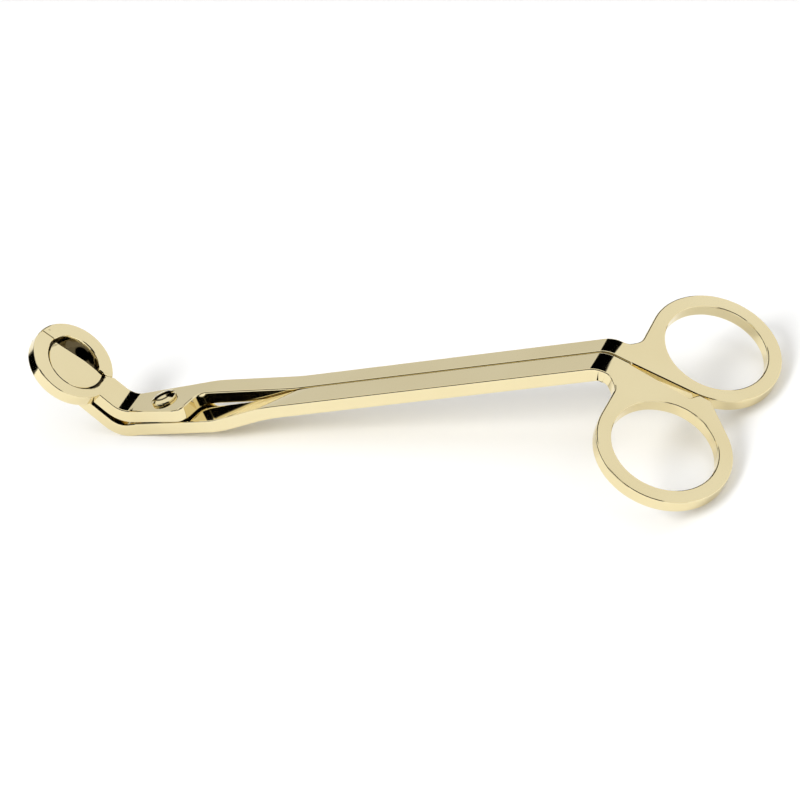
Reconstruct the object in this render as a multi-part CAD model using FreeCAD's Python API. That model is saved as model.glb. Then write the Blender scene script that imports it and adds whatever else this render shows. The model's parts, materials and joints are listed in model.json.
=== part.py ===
import FreeCAD, Part
import math
import os

# Wick trimmer: two crossed arms on one pivot screw. A flat tray and a hollow-ground blade form a
# round head that is bent up from the shanks, and two finger rings are bent down from them.
# Modelled in millimetres in a shank frame: origin on the pivot axis at mid-thickness of the
# shanks, +X towards the finger rings, +Z along the pivot screw. The finished parts are then
# tipped so that the tool rests on its elbow and on the far ends of its rings, with z = 0 the table.

V = FreeCAD.Vector

# Stock
bar_t = 3.4            # thickness of both arms
ring_t = 3.0           # thickness of the finger rings and their webs
far_off = 60.0         # further than any cut through one end of the tool has to reach

# Shanks, side by side from the crossing to the handle bend
shank_half = 6.2       # outer edge of each arm from the centre line
tray_inner_y = 0.85    # inner edge of the tray arm
blade_inner_y = 0.45   # inner edge of the blade arm
bend_x = 120.0         # line where the handles bend down
handle_bend = 40.0     # degrees
handle_bend_r = 6.2    # on the outer, upper side

# Crossing
layer_gap = 0.45       # between the two layers at the screw
layer_mid = -0.12      # height of the middle of that gap
pivot_zone_x = 7.1     # where the full-width pivot zone ends
pivot_zone_in = 0.1    # the zone's inner edges lie this much inside the shanks' outer edges
step_slant = 2.2       # the tray arm's inner step leans this far towards the rings
step_r = 3.0
step_slant_low = 6.5   # the same on the blade arm, where the tray arm lies over it
ramp_tray = (12.0, 36.0)   # where the tray arm comes down to the shanks' level
ramp_blade = (16.0, 30.0)  # where the blade arm comes up to it
ramp_r = 50.0              # easing at both ends of the ramps
ramp_skew = 1.4        # the blade arm's ramp runs this much further on per millimetre towards its inner edge

# Elbow and neck
elbow_x = -11.1        # the elbow's line across the tray arm's top
head_bend = 57.5       # degrees
elbow_r = 5.0          # on the inner, upper side
neck_near = 3.6        # neck edge on the tray side of the centre line
neck_far = 4.2         # neck edge on the blade side
neck_gap = 0.9         # between the two layers along the neck
neck_bend = 3.0        # rounding of the neck's edges, in plan, at the elbow

# Head, in the plane of its rim
head_s = 16.8          # from the elbow line to the centre
head_r = 10.8
recess_r = 7.8
recess_shift = 0.8     # the tray's recess sits this much nearer the neck
recess_y = 0.5         # and this much off the centre line
recess_depth = 0.6
groove_w = 0.5         # fine groove round the foot of the recess
groove_depth = 0.5
hollow_r = 7.1         # inner edge of the blade's rim
hollow_mid = (5.4, 2.7)    # radius and depth half-way down the ground slope
hollow_foot = 2.1      # radius where the slope reaches the lip
dimple = (26.2, 3.0)   # centre mark on the blade's rim
dimple_r = 0.4
dimple_depth = 0.2
lip_gap = 0.45         # the blade's lip passes this far under the tray
lip_t = 1.1
lip_y = 0.3            # the lip's edge, just on the blade side of the centre line
part_gap = 0.15        # between the tray's edge and the blade's rim
neck_flat = (3.0, 9.0)     # the neck's flat end, from the elbow to well inside the head
cut_start = (6.3, 8.4)     # the tray's cutting edge leaves the neck between these
cut_edge = [(14.5, 2.9, 14), (22.5, 1.7, 14)]  # and runs along here to the tip, with easing radii
cut_tip_y = 0.6

# Finger rings, in the plane of the handles
ring_u = 21.4
ring_y = 18.9
hole_u, hole_y = 12.1, 13.8
rim_u, rim_y = 15.6, 17.6
web_corner = (5.9, 9.1)    # where the web widens out of the shank
web_corner_r = 4.0
web_foot = 1.3         # from the end of the bend to where the web turns outward
web_foot_r = 2.4
stop_u = 24.0          # the stop lug between the rings
stop_clear = 0.08
stop_reach = (-3.6, -1.2, 1.8)  # its foot and the two ends of its flat, along the ring from there

# Screw and washer
screw_r = 2.0
screw_head_r = 3.2
screw_head_h = 1.5
running = 0.05         # radial and axial running clearance
slot_w = 1.3
slot_depth = 0.9
slot_turn = 37.0       # degrees from the shanks
screw_rim_h = 0.6      # height of the head's side, below its dome
washer_r = 4.2


class Plane:
    """A plane that leans about the Y axis: distances along it, across it (world y) and above it."""

    def __init__(self, origin, along, up):
        self.origin = origin
        self.along = along
        self.up = up

    def at(self, a, y, z=0.0):
        return self.origin + self.along * a + V(0, y, 0) + self.up * z


beta = math.radians(head_bend)
gamma = math.radians(handle_bend)
tray_bottom = layer_mid + layer_gap / 2
tray_top = tray_bottom + bar_t
blade_top = layer_mid - layer_gap / 2
blade_bottom = blade_top - bar_t
shank_top = bar_t / 2
shank = Plane(V(0, 0, 0), V(1, 0, 0), V(0, 0, 1))
head = Plane(V(elbow_x, 0, tray_top), V(-math.cos(beta), 0, math.sin(beta)),
             V(math.sin(beta), 0, math.cos(beta)))
handle = Plane(V(bend_x, 0, shank_top), V(math.cos(gamma), 0, -math.sin(gamma)),
               V(math.sin(gamma), 0, math.cos(gamma)))


def rounded_wire(corners, at):
    """A closed wire through corners (a, b, radius); at(a, b) places a point in space."""
    edges = []
    ends = []
    count = len(corners)
    for i, (a, b, radius) in enumerate(corners):
        here = V(a, b, 0)
        before = V(corners[i - 1][0], corners[i - 1][1], 0) - here
        after = V(corners[(i + 1) % count][0], corners[(i + 1) % count][1], 0) - here
        if radius <= 0:
            ends.append((here, here))
            continue
        before.normalize()
        after.normalize()
        half = before.getAngle(after) / 2
        reach = radius / math.tan(half)
        middle = before + after
        middle.normalize()
        start = here + before * reach
        end = here + after * reach
        top = here + middle * (radius / math.sin(half) - radius)
        edges.append(Part.Arc(at(start.x, start.y), at(top.x, top.y), at(end.x, end.y)).toShape())
        ends.append((start, end))
    for i in range(count):
        start = ends[i][1]
        end = ends[(i + 1) % count][0]
        if start.distanceToPoint(end) > 1e-6:
            edges.append(Part.LineSegment(at(start.x, start.y), at(end.x, end.y)).toShape())
    return Part.Wire(Part.__sortEdges__(edges))


def plate(corners, plane, z_low, z_high):
    """A flat plate with a rounded outline, between two heights over its plane."""
    wire = rounded_wire(corners, lambda a, y: plane.at(a, y, z_low))
    return Part.Face(wire).extrude(plane.up * (z_high - z_low))


def disc(plane, a, y, radius, z_low, z_high):
    return Part.makeCylinder(radius, z_high - z_low, plane.at(a, y, z_low), plane.up)


def oval(plane, a, y, half_a, half_y, z_low, z_high):
    """An elliptical plug standing on a plane."""
    ellipse = Part.Ellipse(plane.at(a, y + half_y, z_low), plane.at(a + half_a, y, z_low),
                           plane.at(a, y, z_low))
    return Part.Face(Part.Wire(ellipse.toShape())).extrude(plane.up * (z_high - z_low))


def offset_below(line, depths):
    """The line that runs below a polyline, one depth for each of its segments."""
    shifted = []
    for (x0, z0), (x1, z1), depth in zip(line, line[1:], depths):
        length = math.hypot(x1 - x0, z1 - z0)
        nx = (z1 - z0) / length * depth
        nz = -(x1 - x0) / length * depth
        shifted.append(((x0 + nx, z0 + nz), (x1 + nx, z1 + nz)))
    points = [shifted[0][0]]
    for (p, q), (r, s) in zip(shifted, shifted[1:]):
        dx1, dz1 = q[0] - p[0], q[1] - p[1]
        dx2, dz2 = s[0] - r[0], s[1] - r[1]
        along = ((r[0] - p[0]) * dz2 - (r[1] - p[1]) * dx2) / (dx1 * dz2 - dz1 * dx2)
        points.append((p[0] + dx1 * along, p[1] + dz1 * along))
    points.append(shifted[-1][1])
    return points


def strip(line, depths, radii_top, radii_low, skew=0.0):
    """A wide bent strip: its side profile runs across the whole tool, straight or on the skew."""
    low = offset_below(line, depths)
    corners = [(x, z, r) for (x, z), r in zip(line, radii_top)]
    corners += [(x, z, r) for (x, z), r in reversed(list(zip(low, radii_low)))]
    reach = 2 * shank_half
    wire = rounded_wire(corners, lambda x, z: V(x - skew * (reach - shank_half), -reach, z))
    return Part.Face(wire).extrude(V(2 * reach * skew, 2 * reach, 0))


def slab(x_low, x_high):
    """The space between two planes across the tool."""
    return Part.makeBox(x_high - x_low, 2 * far_off, 2 * far_off, V(x_low, -far_off, -far_off))


def neck_line(top, gap, length):
    """Top line of a neck: out along the head's lean, below the tray layer by the gap, to the flat."""
    depth = 0.0 if gap == 0.0 else bar_t + gap
    shift = (depth - (tray_top - top) * math.cos(beta)) / math.sin(beta)
    bend = (elbow_x - shift, top)
    end = (bend[0] - length * math.cos(beta), top + length * math.sin(beta))
    return [end, bend]


def handle_line(length):
    end = handle.at(length, 0)
    return [(bend_x, shank_top), (end.x, end.z)]


def tray_strip():
    line = neck_line(tray_top, 0.0, neck_flat[0] + 1)
    line += [(ramp_tray[0], tray_top), (ramp_tray[1], shank_top)]
    line += handle_line(handle_bend_r)
    depths = [bar_t] * 4 + [ring_t]
    outer = elbow_r + bar_t
    return strip(line, depths, [0, elbow_r, ramp_r, ramp_r, handle_bend_r, 0],
                 [0, outer, ramp_r, ramp_r, handle_bend_r - bar_t, 0])


def blade_strip():
    """The blade arm's strip, in three lengths because only its ramp runs on the skew."""
    split_low = 4.0
    split_high = bend_x - 45
    outer = elbow_r + bar_t
    neck = neck_line(blade_top, neck_gap, neck_flat[1])
    elbow = strip(neck + [(split_low + elbow_r, blade_top)], [bar_t] * 2,
                  [0, elbow_r, 0], [0, outer, 0]).common(slab(-far_off, split_low))
    line = [(-far_off, blade_top), (ramp_blade[0], blade_top), (ramp_blade[1], shank_top),
            (bend_x + far_off, shank_top)]
    ramp = strip(line, [bar_t] * 3, [0, ramp_r, ramp_r, 0], [0, ramp_r, ramp_r, 0], ramp_skew)
    ramp = ramp.common(slab(split_low, split_high))
    line = [(split_high - bar_t, shank_top)] + handle_line(handle_bend_r)
    bend = strip(line, [bar_t, ring_t], [0, handle_bend_r, 0], [0, handle_bend_r - bar_t, 0])
    bend = bend.common(slab(split_high, bend_x + far_off))
    return elbow.fuse([ramp, bend]).removeSplitter()


def shank_outline(side, near, far, inner, step_reach):
    """Plan of an arm from its neck to its web; side is +1 where the shank runs on the +Y side."""
    left = elbow_x - neck_flat[1]
    right = bend_x + handle_bend_r
    flare = elbow_x + 2.0
    wide = shank_half - pivot_zone_in
    return [(left, -near * side, 0), (flare, -near * side, neck_bend),
            (pivot_zone_x, -wide * side, step_r), (pivot_zone_x + step_reach, inner, step_r),
            (right, inner, 0), (right, shank_half * side, 0),
            (2 * pivot_zone_x, shank_half * side, 20), (flare, far * side, neck_bend),
            (left, far * side, 0)]


def touch_point(u, y, towards_tip):
    """Where a straight line from an outside point runs smoothly into a ring's outer edge."""
    a = (u - ring_u) / rim_u
    b = (y - ring_y) / rim_y
    spread = math.acos(1 / math.hypot(a, b))
    angle = math.atan2(b, a) + (spread if towards_tip else -spread)
    return ring_u + rim_u * math.cos(angle), ring_y + rim_y * math.sin(angle)


def ring_outline(side, inner):
    """Web of a finger ring, from the end of the bend to the ring."""
    start = handle_bend_r * math.tan(gamma / 2)
    meet_u, meet_y = touch_point(web_corner[0], web_corner[1], False)
    return [(start, inner, 0), (ring_u, (ring_y - rim_y) * side, 0), (ring_u, ring_y * side, 0),
            (meet_u, meet_y * side, 0), (web_corner[0], web_corner[1] * side, web_corner_r),
            (start + web_foot, shank_half * side, web_foot_r), (start, shank_half * side, 0)]


def finger_ring(side, inner):
    web = plate(ring_outline(side, inner), handle, -ring_t, 0)
    rim = oval(handle, ring_u, ring_y * side, rim_u, rim_y, -ring_t, 0)
    hole = oval(handle, ring_u, ring_y * side, hole_u, hole_y, -ring_t - 1, 1)
    return web.fuse(rim).cut(hole)


def tray_edge(offset):
    """The tray's cutting edge as an outline corner list, from the neck out past the tip."""
    start, turn = cut_start
    beyond = head_s + 1.5 * head_r
    edge = [(start, neck_far + offset, 0), (turn, cut_edge[0][1] + offset, 0.8)]
    edge += [(s, y + offset, radius) for s, y, radius in cut_edge]
    return edge + [(beyond, cut_tip_y + offset, 0)]


def tray_side(offset, z_low, z_high):
    """All the head's space on the tray's side of its edge."""
    aside = -2 * head_r
    corners = [(aside, aside, 0), (aside, neck_far + offset, 0)] + tray_edge(offset)
    corners.append((corners[-1][0], aside, 0))
    return plate(corners, head, z_low, z_high)


def tray_head():
    start, end = neck_flat
    neck = plate([(start, -neck_near, 0), (end, -neck_near, 0), (end, neck_far, 0), (start, neck_far, 0)],
                 head, -bar_t, 0)
    rim = disc(head, head_s, 0, head_r, -bar_t, 0).fuse(neck).common(tray_side(0, -bar_t, 0))
    centre = head_s - recess_shift
    recess = disc(head, centre, recess_y, recess_r, -recess_depth, 1)
    foot = -recess_depth - groove_depth
    groove = disc(head, centre, recess_y, recess_r, foot, 0)
    groove = groove.cut(disc(head, centre, recess_y, recess_r - groove_w, foot - 1, 1))
    return rim.cut(recess).cut(groove)


def blade_hollow():
    """The ground bowl inside the blade's rim, down to the level of the lip."""
    floor = bar_t + lip_gap
    edge = head.at(head_s + hollow_r, 0)
    middle = head.at(head_s + hollow_mid[0], 0, -hollow_mid[1])
    foot = head.at(head_s + hollow_foot, 0, -floor)
    centre = head.at(head_s, 0, -floor)
    above = head.at(head_s, 0, 1)
    above_edge = head.at(head_s + hollow_r, 0, 1)
    edges = [Part.Arc(edge, middle, foot).toShape()]
    for start, end in [(foot, centre), (centre, above), (above, above_edge), (above_edge, edge)]:
        edges.append(Part.LineSegment(start, end).toShape())
    return Part.Face(Part.Wire(edges)).revolve(centre, head.up, 360)


def blade_head():
    """Crescent rim, ground hollow and lip, on a heel that carries them from the neck below."""
    lip_top = -(bar_t + lip_gap)
    lip_low = lip_top - lip_t
    body = disc(head, head_s, 0, head_r, lip_low, 0)
    beyond = head_s + 2 * head_r
    start = neck_flat[0] + 2
    keep = plate([(start + 5, lip_y, 0), (beyond, lip_y, 0), (beyond, 2 * head_r, 0),
                  (start, 2 * head_r, 0), (start, neck_far, 0), (start + 3, neck_far - 1, 0)],
                 head, lip_low, 0)
    body = body.common(keep)
    body = body.cut(tray_side(part_gap, lip_top, 1))
    body = body.cut(blade_hollow())
    mark = head.at(dimple[0], dimple[1], -dimple_depth)
    return body.cut(Part.makeCone(0, dimple_r, dimple_depth, mark, head.up))


def heel():
    """The neck's end under the head, cut away on the slope underneath."""
    top = -(bar_t + neck_gap)
    low = top - bar_t
    start = neck_flat[0] + 1
    full = neck_flat[1]
    end = head_s + 1.5
    pad = plate([(start, -neck_near, 0), (full, -neck_near, 0), (end, 1.0, 3), (end, neck_far + 2, 2),
                 (start + 2.5, neck_far, 3), (start, neck_far, 0)], head, low, top)
    corners = [(full, low, 0), (end + 3, low, 0), (end + 3, -(bar_t + lip_gap + lip_t), 0)]
    wire = rounded_wire(corners, lambda s, z: head.at(s, -far_off, z))
    return pad.cut(Part.Face(wire).extrude(V(0, 2 * far_off, 0)))


def stop_lug():
    """Small pad on the blade arm's ring that meets the tray arm's ring when the tool is closed."""
    meets = ring_y - rim_y - stop_clear
    foot, first, last = [stop_u + reach for reach in stop_reach]
    far_u, far_y = touch_point(last, -meets, True)
    return plate([(foot, -2.6, 0), (first, meets, 1.0), (last, meets, 1.6), (far_u, -far_y, 0),
                  (far_u - 3, -far_y - 1, 0)], handle, -ring_t, 0)


def tray_arm():
    outline = shank_outline(1, neck_near, neck_far, tray_inner_y, step_slant)
    body = tray_strip().common(plate(outline, shank, -far_off, far_off))
    body = body.fuse([tray_head(), finger_ring(1, tray_inner_y)]).removeSplitter()
    bore = disc(shank, 0, 0, screw_r + running, -far_off, far_off)
    return body.cut(bore)


def blade_arm():
    outline = shank_outline(-1, neck_far, neck_near, blade_inner_y, step_slant_low)
    body = blade_strip().common(plate(outline, shank, -far_off, far_off))
    ring = finger_ring(-1, blade_inner_y).fuse(stop_lug())
    body = body.fuse([blade_head(), heel(), ring]).removeSplitter()
    thread = disc(shank, 0, 0, screw_r, -far_off, far_off)
    return body.cut(thread)


def pivot_screw():
    seat = tray_top + running
    dome_h = screw_head_h - screw_rim_h
    dome_r = (screw_head_r ** 2 + dome_h ** 2) / (2 * dome_h)
    dome = Part.makeSphere(dome_r, V(0, 0, seat + screw_head_h - dome_r))
    domed = disc(shank, 0, 0, screw_head_r, seat, seat + screw_head_h).common(dome)
    shaft = disc(shank, 0, 0, screw_r, blade_bottom, seat)
    slot = Part.makeBox(3 * screw_head_r, slot_w, slot_depth + 1,
                        V(-1.5 * screw_head_r, -slot_w / 2, seat + screw_head_h - slot_depth))
    slot.rotate(V(0, 0, 0), V(0, 0, 1), slot_turn)
    return domed.fuse(shaft).removeSplitter().cut(slot)


def pivot_washer():
    ring = disc(shank, 0, 0, washer_r, blade_top, tray_bottom - running)
    return ring.cut(disc(shank, 0, 0, screw_r + running, -far_off, far_off))


def resting(parts):
    """Tip the closed tool so that its elbow and the far ends of its rings stand on z = 0."""
    ring_end = handle.at(ring_u + rim_u, 0, -ring_t)
    elbow = strip_bend_centre()
    run = ring_end.x - elbow.x
    drop = elbow.z - ring_end.z
    radius = elbow_r + bar_t
    tip = math.atan2(drop, run) - math.asin(radius / math.hypot(run, drop))
    placed = {}
    for name, shape in parts.items():
        shape.rotate(V(0, 0, 0), V(0, 1, 0), -math.degrees(tip))
        placed[name] = shape
    box = Part.makeCompound(list(placed.values())).optimalBoundingBox(False, False)
    shift = V(-(box.XMin + box.XMax) / 2, 0, -box.ZMin)
    for shape in placed.values():
        shape.translate(shift)
    print("tip %.4f deg, pivot at %.4f %.4f %.4f, size %.2f %.2f %.2f"
          % (math.degrees(tip), shift.x, shift.y, shift.z, box.XLength, box.YLength, box.ZLength))
    return placed


def strip_bend_centre():
    """Centre of the round underside of the blade arm's elbow."""
    low = offset_below(neck_line(blade_top, neck_gap, neck_flat[1]) + [(0, blade_top)], [bar_t] * 2)[1]
    radius = elbow_r + bar_t
    return V(low[0] + radius * math.tan(beta / 2), 0, low[1] + radius)


def main():
    os.makedirs("parts", exist_ok=True)
    parts = {"tray_arm": tray_arm(), "blade_arm": blade_arm(), "pivot_screw": pivot_screw(),
             "pivot_washer": pivot_washer()}
    for name, shape in resting(parts).items():
        print(name, shape.isValid(), len(shape.Solids), round(shape.Volume, 1))
        shape.exportStep("parts/%s.step" % name)


main()
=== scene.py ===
import json
import math

import bpy
from mathutils import Matrix, Vector

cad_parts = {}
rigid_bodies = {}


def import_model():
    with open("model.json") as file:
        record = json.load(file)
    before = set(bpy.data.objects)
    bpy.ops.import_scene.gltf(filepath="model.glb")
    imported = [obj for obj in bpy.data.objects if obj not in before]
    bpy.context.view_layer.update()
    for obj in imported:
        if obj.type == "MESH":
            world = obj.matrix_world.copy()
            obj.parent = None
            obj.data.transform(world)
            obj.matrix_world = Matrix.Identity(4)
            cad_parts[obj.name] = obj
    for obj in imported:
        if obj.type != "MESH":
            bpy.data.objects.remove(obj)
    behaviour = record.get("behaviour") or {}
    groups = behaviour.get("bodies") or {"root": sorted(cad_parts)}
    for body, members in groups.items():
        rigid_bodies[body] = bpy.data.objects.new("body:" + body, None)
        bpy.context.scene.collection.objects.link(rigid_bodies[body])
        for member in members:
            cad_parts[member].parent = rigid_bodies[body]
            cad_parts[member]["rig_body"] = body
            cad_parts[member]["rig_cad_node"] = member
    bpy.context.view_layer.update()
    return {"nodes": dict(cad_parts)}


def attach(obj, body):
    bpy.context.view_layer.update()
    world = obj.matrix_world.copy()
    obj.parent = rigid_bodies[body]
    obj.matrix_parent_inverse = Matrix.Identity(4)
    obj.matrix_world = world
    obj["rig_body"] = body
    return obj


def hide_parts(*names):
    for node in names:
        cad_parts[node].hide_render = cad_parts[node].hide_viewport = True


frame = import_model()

bl_info = {
    "name": "Wick Trimmer",
    "version": (1, 0, 0),
    "blender": (4, 5, 0),
    "location": "View3D > Sidebar > Wick Trimmer",
    "description": "Finishes the two plated arms, the pivot screw and the washer of a wick trimmer",
    "category": "Object",
}

MILLIMETRE = 0.001

# How a CAD mesh becomes a polished part.
WELD_DISTANCE = 0.05 * MILLIMETRE  # points closer than this become one
ROUND_ABOVE = math.radians(32)     # edges that turn more than this are rounded
SMOOTH_BELOW = math.radians(14)    # edges that turn less than this are shaded smooth
FLAT_FACE_WEIGHT = 80
ARM_SEGMENTS = 3                   # steps across a rounded edge
SMALL_SEGMENTS = 2                 # the same on the screw and the washer

# Where the painted shade lies: a centre on the open face and the direction out of it.
HEAD_UP = (0.76668, 0.0, 0.64202)
BLADE_HOLLOW = ((-0.080737, 0.0, 0.020127), HEAD_UP)
TRAY_RECESS = ((-0.080224, 0.0005, 0.019514), HEAD_UP)
SCREW_TOP = ((-0.059146, 0.0, 0.010222), (-0.12954, 0.0, 0.99157))

# Extent of the painted shade in millimetres: radii about the centre, the depths where the painted
# shade starts and is full, and the depth where it ends. A negative inner radius leaves no island.
TRAY_GROOVE_SHADE = dict(inner=7.2, outer=7.95, start=0.35, full=0.55, deepest=1.3)
HOLLOW_FLOOR_SHADE = dict(inner=-1.0, outer=7.6, start=0.25, full=1.0, deepest=4.05)
SCREW_SLOT_SHADE = dict(inner=-1.0, outer=2.25, start=0.2, full=0.32, deepest=1.2)

# Finish of each metal: range of roughness, scale of the waves, hairlines against the waves, and
# the height of both.
ARM_FINISH = dict(smoothest=0.045, roughest=0.10, wave_scale=70.0, hairlines=0.03,
                  bump_distance=0.012 * MILLIMETRE)
SCREW_FINISH = dict(smoothest=0.06, roughest=0.15, wave_scale=220.0, hairlines=0.12,
                    bump_distance=0.008 * MILLIMETRE)
WASHER_FINISH = dict(smoothest=0.16, roughest=0.30, wave_scale=260.0, hairlines=0.3,
                     bump_distance=0.01 * MILLIMETRE)
WASHER_DEEP = 0.85                 # darker tone of the washer, as a share of its colour

# Panels on the studio walls: azimuth, elevation, radius and softness of the edge, in degrees.
BLACK_PANELS = ((-8.0, 38.5, 20.5, 1.0), (-95.0, 5.0, 26.0, 7.0), (152.0, 33.0, 30.0, 3.0),
                (-148.0, 38.0, 27.0, 4.0))
GREY_PANEL = (-45.0, 18.0, 16.0, 12.0)
GREY_LEVEL = 0.78                  # brightness of the grey panel against the white walls

# Soft lights: place and side, in metres.
KEY_LIGHT = ((-0.75, -1.35, 1.4), 1.0)
FILL_LIGHT = ((1.3, -1.0, 1.1), 1.4)

PAPER_GRAIN = 0.01 * MILLIMETRE    # height of the paper's tooth
PAPER_ROUGHNESS = 0.9
PAPER_SPECULAR = 0.1

SENSOR_WIDTH = 36.0                # millimetres
CLIP_NEAR = 0.01
CLIP_FAR = 50.0


class TrimmerFinish(bpy.types.PropertyGroup):
    """Edge sizes and plating colours of the tool."""

    arm_edge: bpy.props.FloatProperty(
        name="Arm edge", description="Rounding that polishing leaves on the arms' edges",
        default=0.34 * MILLIMETRE, min=0.0, unit="LENGTH", precision=5)
    screw_edge: bpy.props.FloatProperty(
        name="Screw edge", description="Rounding of the screw's slot and rim",
        default=0.12 * MILLIMETRE, min=0.0, unit="LENGTH", precision=5)
    washer_edge: bpy.props.FloatProperty(
        name="Washer edge", description="Rounding of the stamped washer",
        default=0.06 * MILLIMETRE, min=0.0, unit="LENGTH", precision=5)
    gold: bpy.props.FloatVectorProperty(
        name="Plating", description="Colour of the pale gold plating", subtype="COLOR", size=3,
        default=(0.86, 0.755, 0.475), min=0.0, max=1.0)
    gold_deep: bpy.props.FloatVectorProperty(
        name="Deep plating", description="Colour of the plating where it lies a little thicker",
        subtype="COLOR", size=3, default=(0.80, 0.685, 0.40), min=0.0, max=1.0)
    steel: bpy.props.FloatVectorProperty(
        name="Washer steel", description="Colour of the bare washer", subtype="COLOR", size=3,
        default=(0.56, 0.54, 0.50), min=0.0, max=1.0)
    # Colour of the painted shade that is mixed into the plating in the groove, the hollow and the
    # slot.
    shade: bpy.props.FloatVectorProperty(
        name="Shade", description="Colour of the plating in its sunk places",
        subtype="COLOR", size=3, default=(0.10, 0.078, 0.04), min=0.0, max=1.0)


class StudioSettings(bpy.types.PropertyGroup):
    """Camera, floor and light of the stage."""

    azimuth: bpy.props.FloatProperty(
        name="Azimuth", description="Where the camera stands round the tool",
        default=math.radians(31.69), subtype="ANGLE")
    elevation: bpy.props.FloatProperty(
        name="Elevation", description="Height of the camera over the floor, as an angle",
        default=math.radians(31.20), subtype="ANGLE")
    roll: bpy.props.FloatProperty(
        name="Roll", description="Turn of the camera about its own axis",
        default=math.radians(17.31), subtype="ANGLE")
    distance: bpy.props.FloatProperty(
        name="Distance", description="From the camera to the point that it looks at",
        default=0.7521, unit="LENGTH")
    aim: bpy.props.FloatVectorProperty(
        name="Aim", description="The point that the camera looks at", subtype="TRANSLATION", size=3,
        default=(0.0058, -0.0012, 0.010), unit="LENGTH")
    lens: bpy.props.FloatProperty(
        name="Lens", description="Focal length in millimetres", default=145.3, min=1.0)
    floor_size: bpy.props.FloatProperty(
        name="Floor", description="Side of the square floor", default=4.0, unit="LENGTH")
    floor_colour: bpy.props.FloatVectorProperty(
        name="Floor colour", description="Colour of the paper floor", subtype="COLOR", size=3,
        default=(0.95, 0.95, 0.945), min=0.0, max=1.0)
    key_power: bpy.props.FloatProperty(
        name="Key light", description="Power of the soft key light in watts", default=30.0, min=0.0)
    fill_power: bpy.props.FloatProperty(
        name="Fill light", description="Power of the fill light in watts", default=12.0, min=0.0)
    sky: bpy.props.FloatProperty(
        name="Studio walls", description="Brightness of the white walls", default=1.16, min=0.0)


# ---------------------------------------------------------------- small helpers

def select_only(piece):
    """Makes one object the selected and active one."""
    bpy.ops.object.select_all(action="DESELECT")
    piece.select_set(True)
    bpy.context.view_layer.objects.active = piece


def new_material(name):
    """An empty material with a Principled shader on its output."""
    material = bpy.data.materials.new(name)
    material.use_nodes = True
    material.node_tree.nodes.clear()
    shader = material.node_tree.nodes.new("ShaderNodeBsdfPrincipled")
    output = material.node_tree.nodes.new("ShaderNodeOutputMaterial")
    material.node_tree.links.new(shader.outputs["BSDF"], output.inputs["Surface"])
    return material, shader


def place_group(tree, group, **values):
    """Puts a node group into a material and sets its inputs."""
    node = tree.nodes.new("ShaderNodeGroup")
    node.node_tree = group
    for name, value in values.items():
        node.inputs[name.replace("_", " ")].default_value = value
    return node


def link_finish(tree, finish, shader, bump_distance):
    """Feeds a finish group's colour, roughness and height to a Principled shader."""
    bump = tree.nodes.new("ShaderNodeBump")
    bump.inputs["Distance"].default_value = bump_distance
    bump.inputs["Strength"].default_value = 1.0
    tree.links.new(finish.outputs["Height"], bump.inputs["Height"])
    tree.links.new(bump.outputs["Normal"], shader.inputs["Normal"])
    tree.links.new(finish.outputs["Colour"], shader.inputs["Base Color"])
    tree.links.new(finish.outputs["Roughness"], shader.inputs["Roughness"])


def noise(tree, coordinates, scale, detail, stretch=(1.0, 1.0, 1.0)):
    """A noise texture on object coordinates, optionally drawn out along the tool."""
    mapping = tree.nodes.new("ShaderNodeMapping")
    mapping.inputs["Scale"].default_value = stretch
    tree.links.new(coordinates, mapping.inputs["Vector"])
    texture = tree.nodes.new("ShaderNodeTexNoise")
    texture.inputs["Scale"].default_value = scale
    texture.inputs["Detail"].default_value = detail
    tree.links.new(mapping.outputs["Vector"], texture.inputs["Vector"])
    return texture.outputs["Fac"]


def ranged(tree, value, low, high, low_input=None, high_input=None):
    """Maps a value from 0..1 to a range, whose ends may be numbers or sockets."""
    node = tree.nodes.new("ShaderNodeMapRange")
    node.inputs["To Min"].default_value = low
    node.inputs["To Max"].default_value = high
    tree.links.new(value, node.inputs["Value"])
    if low_input is not None:
        tree.links.new(low_input, node.inputs["To Min"])
    if high_input is not None:
        tree.links.new(high_input, node.inputs["To Max"])
    return node.outputs["Result"]


# ---------------------------------------------------------------- finishes

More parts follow.
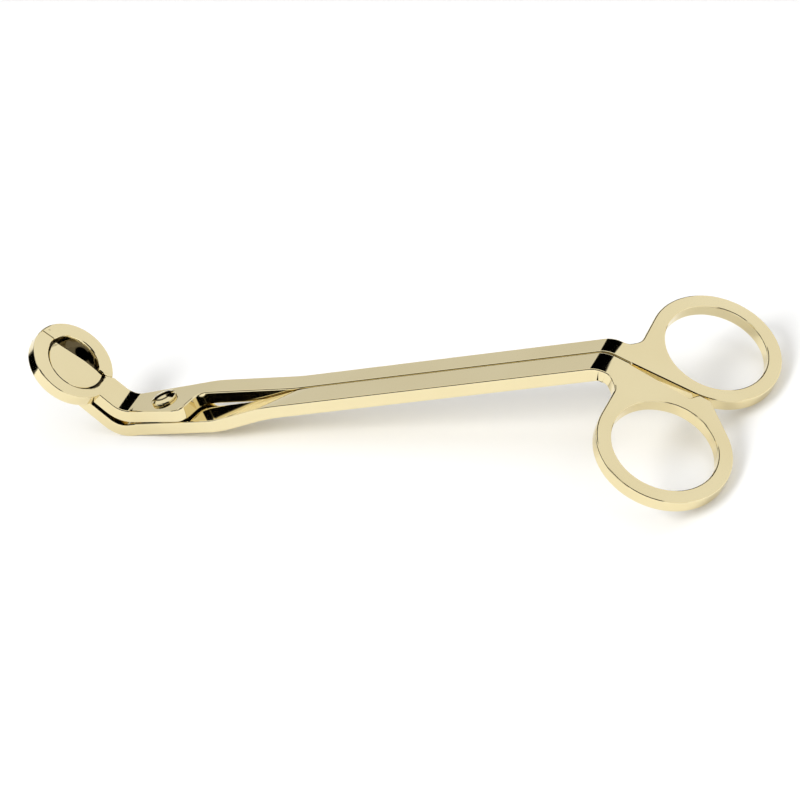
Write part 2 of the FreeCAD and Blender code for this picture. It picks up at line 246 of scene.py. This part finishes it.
def polish_group():
    """Polished plating: slow buffing waves, fine hairlines and faint changes of tone."""
    group = bpy.data.node_groups.get("buffed_plating")
    if group:
        return group
    group = bpy.data.node_groups.new("buffed_plating", "ShaderNodeTree")
    sockets = group.interface
    for name, kind, default in (
            ("Colour", "NodeSocketColor", (0.8, 0.7, 0.4, 1.0)),
            ("Deep Colour", "NodeSocketColor", (0.7, 0.6, 0.3, 1.0)),
            ("Smoothest", "NodeSocketFloat", 0.05), ("Roughest", "NodeSocketFloat", 0.12),
            ("Wave Scale", "NodeSocketFloat", 90.0), ("Hairlines", "NodeSocketFloat", 0.1)):
        socket = sockets.new_socket(name=name, in_out="INPUT", socket_type=kind)
        socket.default_value = default
    for name, kind in (("Colour", "NodeSocketColor"), ("Roughness", "NodeSocketFloat"),
                       ("Height", "NodeSocketFloat")):
        sockets.new_socket(name=name, in_out="OUTPUT", socket_type=kind)
    entry = group.nodes.new("NodeGroupInput")
    leave = group.nodes.new("NodeGroupOutput")
    place = group.nodes.new("ShaderNodeTexCoord").outputs["Object"]
    tone = noise(group, place, scale=38.0, detail=2.0)
    mix = group.nodes.new("ShaderNodeMix")
    mix.data_type = "RGBA"
    group.links.new(ranged(group, tone, low=-0.35, high=1.15), mix.inputs["Factor"])
    group.links.new(entry.outputs["Colour"], mix.inputs["A"])
    group.links.new(entry.outputs["Deep Colour"], mix.inputs["B"])
    group.links.new(mix.outputs["Result"], leave.inputs["Colour"])
    smear = noise(group, place, scale=160.0, detail=4.0, stretch=(0.5, 1.0, 1.0))
    rough = ranged(group, smear, 0.0, 1.0, entry.outputs["Smoothest"], entry.outputs["Roughest"])
    group.links.new(rough, leave.inputs["Roughness"])
    wave = noise(group, place, scale=1.0, detail=1.0)
    group.links.new(entry.outputs["Wave Scale"], wave.node.inputs["Scale"])
    hair = noise(group, place, scale=900.0, detail=3.0, stretch=(0.05, 1.0, 1.0))
    scaled = group.nodes.new("ShaderNodeMath")
    scaled.operation = "MULTIPLY_ADD"
    group.links.new(hair, scaled.inputs[0])
    group.links.new(entry.outputs["Hairlines"], scaled.inputs[1])
    group.links.new(wave, scaled.inputs[2])
    group.links.new(scaled.outputs["Value"], leave.inputs["Height"])
    return group


def painted_shade_group():
    """A mask of a ring-shaped space below an open face, where shade is painted: 1 in its depth, 0
    outside it.
    """
    group = bpy.data.node_groups.get("painted_shade_place")
    if group:
        return group
    group = bpy.data.node_groups.new("painted_shade_place", "ShaderNodeTree")
    for name, kind in (("Centre", "NodeSocketVector"), ("Outward", "NodeSocketVector"),
                       ("Inner Radius", "NodeSocketFloat"), ("Outer Radius", "NodeSocketFloat"),
                       ("Dark From", "NodeSocketFloat"), ("Dark At", "NodeSocketFloat"),
                       ("Deepest", "NodeSocketFloat")):
        group.interface.new_socket(name=name, in_out="INPUT", socket_type=kind)
    group.interface.new_socket(name="Mask", in_out="OUTPUT", socket_type="NodeSocketFloat")
    entry = group.nodes.new("NodeGroupInput")
    leave = group.nodes.new("NodeGroupOutput")

    def vector_math(operation, first, second, output):
        node = group.nodes.new("ShaderNodeVectorMath")
        node.operation = operation
        group.links.new(first, node.inputs[0])
        if second is not None:
            group.links.new(second, node.inputs[1])
        return node.outputs[output]

    def math_node(operation, first, second):
        node = group.nodes.new("ShaderNodeMath")
        node.operation = operation
        group.links.new(first, node.inputs[0])
        group.links.new(second, node.inputs[1])
        return node.outputs["Value"]

    place = group.nodes.new("ShaderNodeTexCoord").outputs["Object"]
    away = vector_math("SUBTRACT", place, entry.outputs["Centre"], "Vector")
    height = vector_math("DOT_PRODUCT", away, entry.outputs["Outward"], "Value")
    across = vector_math("CROSS_PRODUCT", away, entry.outputs["Outward"], "Vector")
    radius = vector_math("LENGTH", across, None, "Value")
    inside = math_node("LESS_THAN", radius, entry.outputs["Outer Radius"])
    outside = math_node("GREATER_THAN", radius, entry.outputs["Inner Radius"])
    depth = group.nodes.new("ShaderNodeMapRange")
    depth.interpolation_type = "SMOOTHSTEP"
    negative = group.nodes.new("ShaderNodeMath")
    negative.operation = "MULTIPLY"
    negative.inputs[1].default_value = -1.0
    group.links.new(height, negative.inputs[0])
    group.links.new(negative.outputs["Value"], depth.inputs["Value"])
    group.links.new(entry.outputs["Dark From"], depth.inputs["From Min"])
    group.links.new(entry.outputs["Dark At"], depth.inputs["From Max"])
    ring = math_node("MULTIPLY", inside, outside)
    ring = math_node("MULTIPLY", ring,
                     math_node("LESS_THAN", negative.outputs["Value"], entry.outputs["Deepest"]))
    group.links.new(math_node("MULTIPLY", ring, depth.outputs["Result"]), leave.inputs["Mask"])
    return group


def paint_shade(material, place, inner, outer, start, full, deepest, tone):
    """Mixes painted shade into a metal's colour inside one sunk place; sizes in millimetres."""
    tree = material.node_tree
    centre, outward = place
    shade_mask = place_group(tree, painted_shade_group(), Centre=centre, Outward=outward,
                       Inner_Radius=inner * MILLIMETRE, Outer_Radius=outer * MILLIMETRE,
                       Dark_From=start * MILLIMETRE, Dark_At=full * MILLIMETRE,
                       Deepest=deepest * MILLIMETRE)
    shader = next(node for node in tree.nodes if node.type == "BSDF_PRINCIPLED")
    colour = shader.inputs["Base Color"].links[0].from_socket
    mix = tree.nodes.new("ShaderNodeMix")
    mix.data_type = "RGBA"
    mix.inputs["B"].default_value = (*tone, 1.0)
    tree.links.new(shade_mask.outputs["Mask"], mix.inputs["Factor"])
    tree.links.new(colour, mix.inputs["A"])
    tree.links.new(mix.outputs["Result"], shader.inputs["Base Color"])
    return material


def metal(name, colour, deep, smoothest, roughest, wave_scale, hairlines, bump_distance):
    """A polished metal made from the buffed plating group."""
    material, shader = new_material(name)
    tree = material.node_tree
    finish = place_group(tree, polish_group(), Colour=(*colour, 1.0), Deep_Colour=(*deep, 1.0),
                         Smoothest=smoothest, Roughest=roughest, Wave_Scale=wave_scale,
                         Hairlines=hairlines)
    shader.inputs["Metallic"].default_value = 1.0
    link_finish(tree, finish, shader, bump_distance)
    return material


def arm_plating(name):
    """Mirror-polished pale gold on the forged arms."""
    look = bpy.context.scene.trimmer_finish
    return metal(name, look.gold, look.gold_deep, **ARM_FINISH)


def tray_plating():
    """The arms' gold, with painted shade in the fine groove round the tray's recess."""
    look = bpy.context.scene.trimmer_finish
    return paint_shade(arm_plating("tray_gold_plating"), TRAY_RECESS, tone=look.shade, **TRAY_GROOVE_SHADE)


def blade_plating():
    """The arms' gold, with painted shade down in the ground hollow."""
    look = bpy.context.scene.trimmer_finish
    return paint_shade(arm_plating("blade_gold_plating"), BLADE_HOLLOW, tone=look.shade, **HOLLOW_FLOOR_SHADE)


def screw_plating():
    """The same gold, a little rougher, on the screw, with painted shade in its slot."""
    look = bpy.context.scene.trimmer_finish
    turned = metal("turned_gold_plating", look.gold, look.gold_deep, **SCREW_FINISH)
    return paint_shade(turned, SCREW_TOP, tone=look.shade, **SCREW_SLOT_SHADE)


def washer_steel():
    """Bare stamped steel of the washer."""
    look = bpy.context.scene.trimmer_finish
    darker = tuple(channel * WASHER_DEEP for channel in look.steel)
    return metal("stamped_steel", look.steel, darker, **WASHER_FINISH)


# ---------------------------------------------------------------- pieces

def polished_copy(node, name, edge, segments, material, body):
    """Copies one CAD mesh, rounds its edges and gives it its finish."""
    source = frame["nodes"][node]
    select_only(source)
    bpy.ops.object.duplicate()
    piece = bpy.context.view_layer.objects.active
    piece.name = name
    piece.data.name = name
    piece.parent = None
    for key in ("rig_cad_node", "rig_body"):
        del piece[key]
    select_only(piece)
    bpy.ops.object.mode_set(mode="EDIT")
    bpy.ops.mesh.select_all(action="SELECT")
    bpy.ops.mesh.remove_doubles(threshold=WELD_DISTANCE)
    bpy.ops.object.mode_set(mode="OBJECT")
    bevel = piece.modifiers.new("polished edges", "BEVEL")
    bevel.width = edge
    bevel.segments = segments
    bevel.limit_method = "ANGLE"
    bevel.angle_limit = ROUND_ABOVE
    bevel.use_clamp_overlap = False
    bpy.ops.object.modifier_apply(modifier=bevel.name)
    bpy.ops.object.shade_smooth_by_angle(angle=SMOOTH_BELOW)
    weights = piece.modifiers.new("flat faces", "WEIGHTED_NORMAL")
    weights.weight = FLAT_FACE_WEIGHT
    weights.keep_sharp = True
    bpy.ops.object.modifier_apply(modifier=weights.name)
    piece.data.materials.clear()
    piece.data.materials.append(material)
    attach(piece, body)
    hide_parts(node)
    return piece


class TRIMMER_OT_tray_arm(bpy.types.Operator):
    """Make the arm that carries the tray and the far finger ring"""

    bl_idname = "trimmer.tray_arm"
    bl_label = "Tray Arm"

    def execute(self, context):
        look = context.scene.trimmer_finish
        polished_copy("tray_arm", "tray_arm_polished", look.arm_edge, ARM_SEGMENTS,
                      tray_plating(), "tray_side")
        return {"FINISHED"}


class TRIMMER_OT_blade_arm(bpy.types.Operator):
    """Make the arm that carries the blade and the near finger ring"""

    bl_idname = "trimmer.blade_arm"
    bl_label = "Blade Arm"

    def execute(self, context):
        look = context.scene.trimmer_finish
        polished_copy("blade_arm", "blade_arm_polished", look.arm_edge, ARM_SEGMENTS,
                      blade_plating(), "blade_side")
        return {"FINISHED"}


class TRIMMER_OT_pivot(bpy.types.Operator):
    """Make the pivot screw and the washer between the arms"""

    bl_idname = "trimmer.pivot"
    bl_label = "Pivot Screw and Washer"

    def execute(self, context):
        look = context.scene.trimmer_finish
        polished_copy("pivot_screw", "pivot_screw_turned", look.screw_edge, SMALL_SEGMENTS,
                      screw_plating(), "blade_side")
        polished_copy("pivot_washer", "pivot_washer_stamped", look.washer_edge, SMALL_SEGMENTS,
                      washer_steel(), "blade_side")
        return {"FINISHED"}


# ---------------------------------------------------------------- stage

def floor_paper():
    """White paper with a faint tooth."""
    material, shader = new_material("floor_paper")
    tree = material.node_tree
    place = tree.nodes.new("ShaderNodeTexCoord").outputs["Object"]
    grain = noise(tree, place, scale=700.0, detail=3.0)
    bump = tree.nodes.new("ShaderNodeBump")
    bump.inputs["Distance"].default_value = PAPER_GRAIN
    tree.links.new(grain, bump.inputs["Height"])
    tree.links.new(bump.outputs["Normal"], shader.inputs["Normal"])
    colour = bpy.context.scene.trimmer_studio.floor_colour
    shader.inputs["Base Color"].default_value = (*colour, 1.0)
    shader.inputs["Roughness"].default_value = PAPER_ROUGHNESS
    shader.inputs["Specular IOR Level"].default_value = PAPER_SPECULAR
    return material


def direction(azimuth, elevation):
    """A unit vector; azimuth 0 is +Y and turns towards +X, in degrees."""
    a = math.radians(azimuth)
    e = math.radians(elevation)
    return Vector((math.sin(a) * math.cos(e), math.cos(a) * math.cos(e), math.sin(e)))


def dark_panel(tree, look_along, azimuth, elevation, radius, soft):
    """A mask that is 0 inside a round dark panel on the studio wall and 1 outside it."""
    dot = tree.nodes.new("ShaderNodeVectorMath")
    dot.operation = "DOT_PRODUCT"
    dot.inputs[1].default_value = direction(azimuth, elevation)
    tree.links.new(look_along, dot.inputs[0])
    edge = tree.nodes.new("ShaderNodeMapRange")
    edge.interpolation_type = "SMOOTHSTEP"
    edge.inputs["From Min"].default_value = math.cos(math.radians(radius + soft))
    edge.inputs["From Max"].default_value = math.cos(math.radians(radius - soft))
    edge.inputs["To Min"].default_value = 1.0
    edge.inputs["To Max"].default_value = 0.0
    tree.links.new(dot.outputs["Value"], edge.inputs["Value"])
    return edge.outputs["Result"]


def studio_walls():
    """White walls all round, with one grey panel and black ones that the polish mirrors."""
    world = bpy.data.worlds.new("studio_walls")
    bpy.context.scene.world = world
    world.use_nodes = True
    tree = world.node_tree
    tree.nodes.clear()
    background = tree.nodes.new("ShaderNodeBackground")
    output = tree.nodes.new("ShaderNodeOutputWorld")
    tree.links.new(background.outputs["Background"], output.inputs["Surface"])
    look_along = tree.nodes.new("ShaderNodeTexCoord").outputs["Generated"]
    factor = None
    for panel in BLACK_PANELS:
        mask = dark_panel(tree, look_along, *panel)
        if factor is None:
            factor = mask
            continue
        both = tree.nodes.new("ShaderNodeMath")
        both.operation = "MULTIPLY"
        tree.links.new(factor, both.inputs[0])
        tree.links.new(mask, both.inputs[1])
        factor = both.outputs["Value"]
    grey = dark_panel(tree, look_along, *GREY_PANEL)
    softened = ranged(tree, grey, low=GREY_LEVEL, high=1.0)
    total = tree.nodes.new("ShaderNodeMath")
    total.operation = "MULTIPLY"
    tree.links.new(factor, total.inputs[0])
    tree.links.new(softened, total.inputs[1])
    strength = tree.nodes.new("ShaderNodeMath")
    strength.operation = "MULTIPLY"
    strength.inputs[1].default_value = bpy.context.scene.trimmer_studio.sky
    tree.links.new(total.outputs["Value"], strength.inputs[0])
    tree.links.new(strength.outputs["Value"], background.inputs["Strength"])


def soft_light(name, place, size, power):
    """A large soft light that looks at the tool; the polish doesn't mirror it."""
    bpy.ops.object.light_add(type="AREA", location=place)
    light = bpy.context.view_layer.objects.active
    light.name = name
    light.data.size = size
    light.data.energy = power
    light.rotation_mode = "QUATERNION"
    light.rotation_quaternion = (-Vector(place)).to_track_quat("-Z", "Y")
    light.visible_glossy = False


def camera():
    """The camera, turned a little about its own axis."""
    studio = bpy.context.scene.trimmer_studio
    level = math.cos(studio.elevation)
    back = Vector((math.sin(studio.azimuth) * level, -math.cos(studio.azimuth) * level,
                   math.sin(studio.elevation)))
    bpy.ops.object.camera_add(location=Vector(studio.aim) + back * studio.distance)
    viewer = bpy.context.view_layer.objects.active
    viewer.name = "studio_camera"
    turn = (-back).to_track_quat("-Z", "Y").to_matrix() @ Matrix.Rotation(-studio.roll, 3, "Z")
    viewer.rotation_mode = "QUATERNION"
    viewer.rotation_quaternion = turn.to_quaternion()
    viewer.data.lens = studio.lens
    viewer.data.sensor_width = SENSOR_WIDTH
    viewer.data.clip_start = CLIP_NEAR
    viewer.data.clip_end = CLIP_FAR
    bpy.context.scene.camera = viewer


class TRIMMER_OT_stage(bpy.types.Operator):
    """Set up the floor, the studio walls, the lights and the camera"""

    bl_idname = "trimmer.stage"
    bl_label = "Stage"

    def execute(self, context):
        studio = context.scene.trimmer_studio
        bpy.ops.object.select_all(action="DESELECT")
        bpy.ops.mesh.primitive_plane_add(size=studio.floor_size, location=(0.0, 0.0, 0.0))
        floor = context.view_layer.objects.active
        floor.name = "paper_floor"
        floor.data.materials.append(floor_paper())
        studio_walls()
        soft_light("key_light", *KEY_LIGHT, studio.key_power)
        soft_light("fill_light", *FILL_LIGHT, studio.fill_power)
        camera()
        context.scene.view_settings.view_transform = "Standard"
        return {"FINISHED"}


class TRIMMER_PT_panel(bpy.types.Panel):
    """Lists the pieces of the wick trimmer and its settings"""

    bl_idname = "TRIMMER_PT_panel"
    bl_label = "Wick Trimmer"
    bl_space_type = "VIEW_3D"
    bl_region_type = "UI"
    bl_category = "Wick Trimmer"

    def draw(self, context):
        layout = self.layout
        for settings in (context.scene.trimmer_finish, context.scene.trimmer_studio):
            column = layout.column(align=True)
            for name in settings.__annotations__:
                column.prop(settings, name)
        for operator in OPERATORS:
            layout.operator(operator.bl_idname)


OPERATORS = (TRIMMER_OT_tray_arm, TRIMMER_OT_blade_arm, TRIMMER_OT_pivot, TRIMMER_OT_stage)
CLASSES = (TrimmerFinish, StudioSettings, *OPERATORS, TRIMMER_PT_panel)


def register():
    for cls in CLASSES:
        bpy.utils.register_class(cls)
    bpy.types.Scene.trimmer_finish = bpy.props.PointerProperty(type=TrimmerFinish)
    bpy.types.Scene.trimmer_studio = bpy.props.PointerProperty(type=StudioSettings)


def unregister():
    del bpy.types.Scene.trimmer_studio
    del bpy.types.Scene.trimmer_finish
    for cls in reversed(CLASSES):
        bpy.utils.unregister_class(cls)


def main():
    register()
    bpy.ops.trimmer.tray_arm()
    bpy.ops.trimmer.blade_arm()
    bpy.ops.trimmer.pivot()
    bpy.ops.trimmer.stage()


if __name__ == "__main__":
    main()
